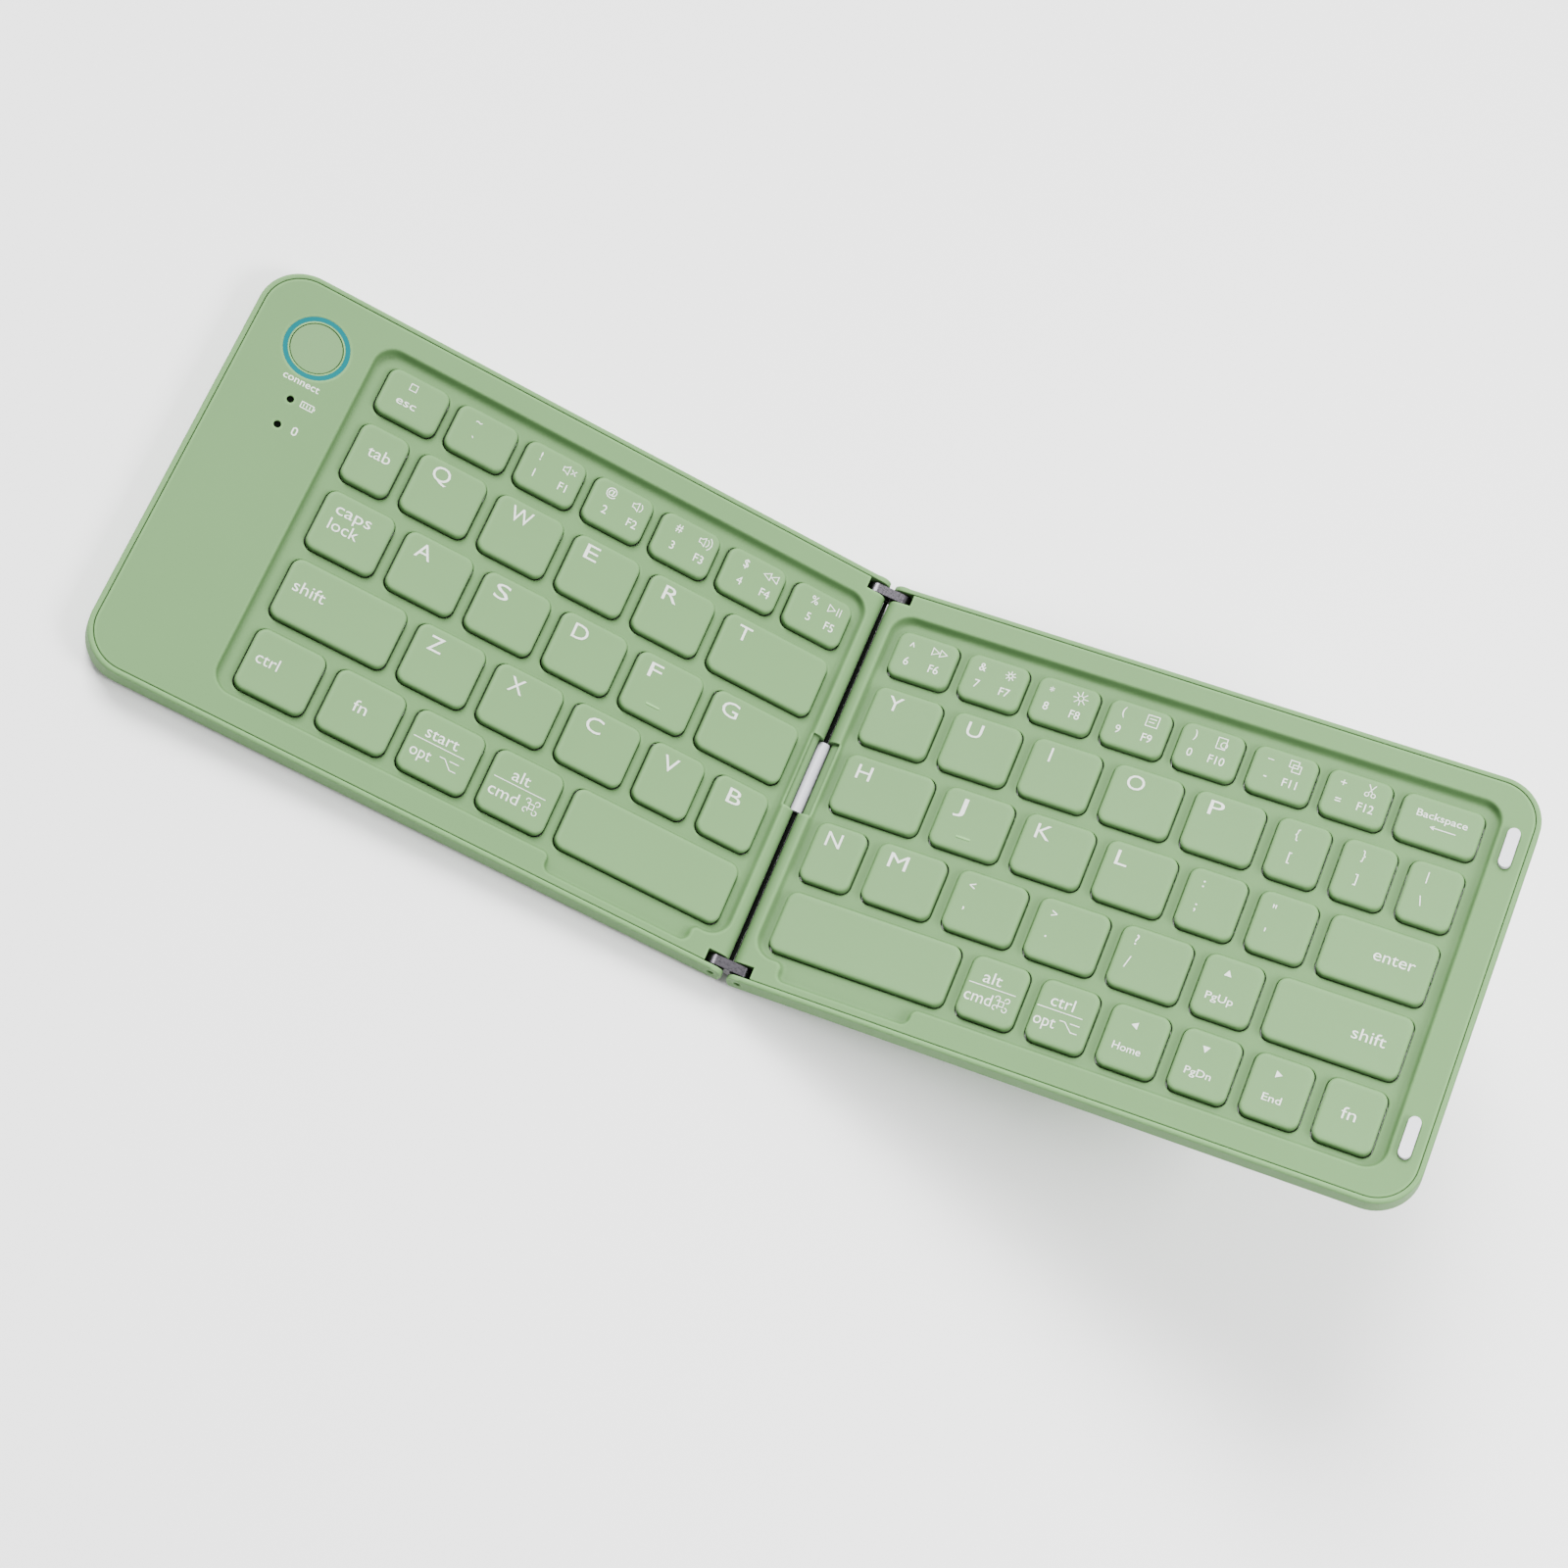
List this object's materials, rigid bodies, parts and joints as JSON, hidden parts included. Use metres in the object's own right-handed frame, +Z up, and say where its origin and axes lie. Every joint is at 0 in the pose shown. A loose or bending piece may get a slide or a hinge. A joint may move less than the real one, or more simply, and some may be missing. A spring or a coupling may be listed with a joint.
{
  "type": "folding keyboard",
  "caption": "Thin keyboard in two key halves joined by a double-axle hinge, so that it folds shut face to face; sprung keys, connect button, light ring and rubber feet",
  "frame": {"origin": "middle of the bounding box at desk level, with the left half lying on its feet and the right half raised 26 degrees", "axes": "+X from the left half to the right half, +Y from the space bars to the number row, +Z up"},
  "size_m": [0.2864, 0.098, 0.0727],
  "materials": {
    "case_plastic": "fine matt, pale sage green",
    "key_plastic": "smooth matt, pale sage green",
    "button_plastic": "smooth matt, pale sage green",
    "foot_rubber": "pale lavender-white soft rubber",
    "cover_rubber": "pale lavender-white satin",
    "plate_steel": "plain rolled steel",
    "membrane_film": "clear to ivory film",
    "dome_rubber": "soft translucent rubber",
    "scissor_plastic": "white moulded",
    "pin_steel": "ground steel",
    "link_metal": "satin grey metal",
    "circuit_board": "green solder mask",
    "battery_wrap": "foil pouch",
    "cable_film": "amber film",
    "socket_metal": "plated shell",
    "ring_light": "lit teal light pipe",
    "light_window": "dark window"
  },
  "bodies": {
    "left_half": {"left_bottom_case": "case_plastic", "left_top_case": "case_plastic", "left_key_plate": "plate_steel", "left_membrane": "membrane_film", "left_domes": "dome_rubber", "left_scissors": "scissor_plastic", "left_feet": "foot_rubber", "left_hinge_pins": "pin_steel", "main_board": "circuit_board", "battery": "battery_wrap", "ribbon_cable": "cable_film", "charge_socket": "socket_metal", "light_ring": "ring_light", "status_lights": "light_window"},
    "hinge_link": {"end_links": "link_metal", "cable_cover": "cover_rubber"},
    "right_half": {"right_bottom_case": "case_plastic", "right_top_case": "case_plastic", "right_key_plate": "plate_steel", "right_membrane": "membrane_film", "right_domes": "dome_rubber", "right_scissors": "scissor_plastic", "right_feet": "foot_rubber", "right_bumpers": "foot_rubber", "right_hinge_pins": "pin_steel"},
    "keys_number_row_left": {"keys_number_row_left": "key_plastic"},
    "keys_modifiers_left": {"keys_modifiers_left": "key_plastic"},
    "key_space_left": {"key_space_left": "key_plastic"},
    "letter_q": {"letter_q": "key_plastic"},
    "letter_w": {"letter_w": "key_plastic"},
    "letter_e": {"letter_e": "key_plastic"},
    "letter_r": {"letter_r": "key_plastic"},
    "letter_t": {"letter_t": "key_plastic"},
    "letter_a": {"letter_a": "key_plastic"},
    "letter_s": {"letter_s": "key_plastic"},
    "letter_d": {"letter_d": "key_plastic"},
    "letter_f": {"letter_f": "key_plastic"},
    "letter_g": {"letter_g": "key_plastic"},
    "letter_z": {"letter_z": "key_plastic"},
    "letter_x": {"letter_x": "key_plastic"},
    "letter_c": {"letter_c": "key_plastic"},
    "letter_v": {"letter_v": "key_plastic"},
    "letter_b": {"letter_b": "key_plastic"},
    "keys_number_row_right": {"keys_number_row_right": "key_plastic"},
    "keys_punctuation": {"keys_punctuation": "key_plastic"},
    "keys_modifiers_right": {"keys_modifiers_right": "key_plastic"},
    "keys_arrows": {"keys_arrows": "key_plastic"},
    "key_space_right": {"key_space_right": "key_plastic"},
    "letter_y": {"letter_y": "key_plastic"},
    "letter_u": {"letter_u": "key_plastic"},
    "letter_i": {"letter_i": "key_plastic"},
    "letter_o": {"letter_o": "key_plastic"},
    "letter_p": {"letter_p": "key_plastic"},
    "letter_h": {"letter_h": "key_plastic"},
    "letter_j": {"letter_j": "key_plastic"},
    "letter_k": {"letter_k": "key_plastic"},
    "letter_l": {"letter_l": "key_plastic"},
    "letter_n": {"letter_n": "key_plastic"},
    "letter_m": {"letter_m": "key_plastic"},
    "connect_button": {"connect_button": "button_plastic"}
  },
  "joints": [
    {"name": "left_hinge", "type": "hinge", "parent": "left_half", "child": "hinge_link", "pos_m": [0.00368, 0, 0.0053], "axis": [0, -1, 0], "range_deg": [-8, 82]},
    {"name": "right_hinge", "type": "hinge", "parent": "hinge_link", "child": "right_half", "pos_m": [0.00982, 0, 0.00616], "axis": [0, -1, 0], "range_deg": [-18, 72]},
    {"name": "keys_number_row_left_press", "type": "slide", "parent": "left_half", "child": "keys_number_row_left", "axis": [0, 0, -1], "range_m": [0, 0.0014], "stiffness_N_per_m": 1400, "springref_m": -0.001},
    {"name": "keys_modifiers_left_press", "type": "slide", "parent": "left_half", "child": "keys_modifiers_left", "axis": [0, 0, -1], "range_m": [0, 0.0014], "stiffness_N_per_m": 1400, "springref_m": -0.001},
    {"name": "key_space_left_press", "type": "slide", "parent": "left_half", "child": "key_space_left", "axis": [0, 0, -1], "range_m": [0, 0.0014], "stiffness_N_per_m": 200, "springref_m": -0.001},
    {"name": "letter_q_press", "type": "slide", "parent": "left_half", "child": "letter_q", "axis": [0, 0, -1], "range_m": [0, 0.0014], "stiffness_N_per_m": 200, "springref_m": -0.001},
    {"name": "letter_w_press", "type": "slide", "parent": "left_half", "child": "letter_w", "axis": [0, 0, -1], "range_m": [0, 0.0014], "stiffness_N_per_m": 200, "springref_m": -0.001},
    {"name": "letter_e_press", "type": "slide", "parent": "left_half", "child": "letter_e", "axis": [0, 0, -1], "range_m": [0, 0.0014], "stiffness_N_per_m": 200, "springref_m": -0.001},
    {"name": "letter_r_press", "type": "slide", "parent": "left_half", "child": "letter_r", "axis": [0, 0, -1], "range_m": [0, 0.0014], "stiffness_N_per_m": 200, "springref_m": -0.001},
    {"name": "letter_t_press", "type": "slide", "parent": "left_half", "child": "letter_t", "axis": [0, 0, -1], "range_m": [0, 0.0014], "stiffness_N_per_m": 200, "springref_m": -0.001},
    {"name": "letter_a_press", "type": "slide", "parent": "left_half", "child": "letter_a", "axis": [0, 0, -1], "range_m": [0, 0.0014], "stiffness_N_per_m": 200, "springref_m": -0.001},
    {"name": "letter_s_press", "type": "slide", "parent": "left_half", "child": "letter_s", "axis": [0, 0, -1], "range_m": [0, 0.0014], "stiffness_N_per_m": 200, "springref_m": -0.001},
    {"name": "letter_d_press", "type": "slide", "parent": "left_half", "child": "letter_d", "axis": [0, 0, -1], "range_m": [0, 0.0014], "stiffness_N_per_m": 200, "springref_m": -0.001},
    {"name": "letter_f_press", "type": "slide", "parent": "left_half", "child": "letter_f", "axis": [0, 0, -1], "range_m": [0, 0.0014], "stiffness_N_per_m": 200, "springref_m": -0.001},
    {"name": "letter_g_press", "type": "slide", "parent": "left_half", "child": "letter_g", "axis": [0, 0, -1], "range_m": [0, 0.0014], "stiffness_N_per_m": 200, "springref_m": -0.001},
    {"name": "letter_z_press", "type": "slide", "parent": "left_half", "child": "letter_z", "axis": [0, 0, -1], "range_m": [0, 0.0014], "stiffness_N_per_m": 200, "springref_m": -0.001},
    {"name": "letter_x_press", "type": "slide", "parent": "left_half", "child": "letter_x", "axis": [0, 0, -1], "range_m": [0, 0.0014], "stiffness_N_per_m": 200, "springref_m": -0.001},
    {"name": "letter_c_press", "type": "slide", "parent": "left_half", "child": "letter_c", "axis": [0, 0, -1], "range_m": [0, 0.0014], "stiffness_N_per_m": 200, "springref_m": -0.001},
    {"name": "letter_v_press", "type": "slide", "parent": "left_half", "child": "letter_v", "axis": [0, 0, -1], "range_m": [0, 0.0014], "stiffness_N_per_m": 200, "springref_m": -0.001},
    {"name": "letter_b_press", "type": "slide", "parent": "left_half", "child": "letter_b", "axis": [0, 0, -1], "range_m": [0, 0.0014], "stiffness_N_per_m": 200, "springref_m": -0.001},
    {"name": "keys_number_row_right_press", "type": "slide", "parent": "right_half", "child": "keys_number_row_right", "axis": [0.4384, 0, -0.8988], "range_m": [0, 0.0014], "stiffness_N_per_m": 1600, "springref_m": -0.001},
    {"name": "keys_punctuation_press", "type": "slide", "parent": "right_half", "child": "keys_punctuation", "axis": [0.4384, 0, -0.8988], "range_m": [0, 0.0014], "stiffness_N_per_m": 1600, "springref_m": -0.001},
    {"name": "keys_modifiers_right_press", "type": "slide", "parent": "right_half", "child": "keys_modifiers_right", "axis": [0.4384, 0, -0.8988], "range_m": [0, 0.0014], "stiffness_N_per_m": 1000, "springref_m": -0.001},
    {"name": "keys_arrows_press", "type": "slide", "parent": "right_half", "child": "keys_arrows", "axis": [0.4384, 0, -0.8988], "range_m": [0, 0.0014], "stiffness_N_per_m": 800, "springref_m": -0.001},
    {"name": "key_space_right_press", "type": "slide", "parent": "right_half", "child": "key_space_right", "axis": [0.4384, 0, -0.8988], "range_m": [0, 0.0014], "stiffness_N_per_m": 200, "springref_m": -0.001},
    {"name": "letter_y_press", "type": "slide", "parent": "right_half", "child": "letter_y", "axis": [0.4384, 0, -0.8988], "range_m": [0, 0.0014], "stiffness_N_per_m": 200, "springref_m": -0.001},
    {"name": "letter_u_press", "type": "slide", "parent": "right_half", "child": "letter_u", "axis": [0.4384, 0, -0.8988], "range_m": [0, 0.0014], "stiffness_N_per_m": 200, "springref_m": -0.001},
    {"name": "letter_i_press", "type": "slide", "parent": "right_half", "child": "letter_i", "axis": [0.4384, 0, -0.8988], "range_m": [0, 0.0014], "stiffness_N_per_m": 200, "springref_m": -0.001},
    {"name": "letter_o_press", "type": "slide", "parent": "right_half", "child": "letter_o", "axis": [0.4384, 0, -0.8988], "range_m": [0, 0.0014], "stiffness_N_per_m": 200, "springref_m": -0.001},
    {"name": "letter_p_press", "type": "slide", "parent": "right_half", "child": "letter_p", "axis": [0.4384, 0, -0.8988], "range_m": [0, 0.0014], "stiffness_N_per_m": 200, "springref_m": -0.001},
    {"name": "letter_h_press", "type": "slide", "parent": "right_half", "child": "letter_h", "axis": [0.4384, 0, -0.8988], "range_m": [0, 0.0014], "stiffness_N_per_m": 200, "springref_m": -0.001},
    {"name": "letter_j_press", "type": "slide", "parent": "right_half", "child": "letter_j", "axis": [0.4384, 0, -0.8988], "range_m": [0, 0.0014], "stiffness_N_per_m": 200, "springref_m": -0.001},
    {"name": "letter_k_press", "type": "slide", "parent": "right_half", "child": "letter_k", "axis": [0.4384, 0, -0.8988], "range_m": [0, 0.0014], "stiffness_N_per_m": 200, "springref_m": -0.001},
    {"name": "letter_l_press", "type": "slide", "parent": "right_half", "child": "letter_l", "axis": [0.4384, 0, -0.8988], "range_m": [0, 0.0014], "stiffness_N_per_m": 200, "springref_m": -0.001},
    {"name": "letter_n_press", "type": "slide", "parent": "right_half", "child": "letter_n", "axis": [0.4384, 0, -0.8988], "range_m": [0, 0.0014], "stiffness_N_per_m": 200, "springref_m": -0.001},
    {"name": "letter_m_press", "type": "slide", "parent": "right_half", "child": "letter_m", "axis": [0.4384, 0, -0.8988], "range_m": [0, 0.0014], "stiffness_N_per_m": 200, "springref_m": -0.001},
    {"name": "connect_press", "type": "slide", "parent": "left_half", "child": "connect_button", "axis": [0, 0, -1], "range_m": [0, 0.0005], "stiffness_N_per_m": 500, "springref_m": -0.001}
  ]
}
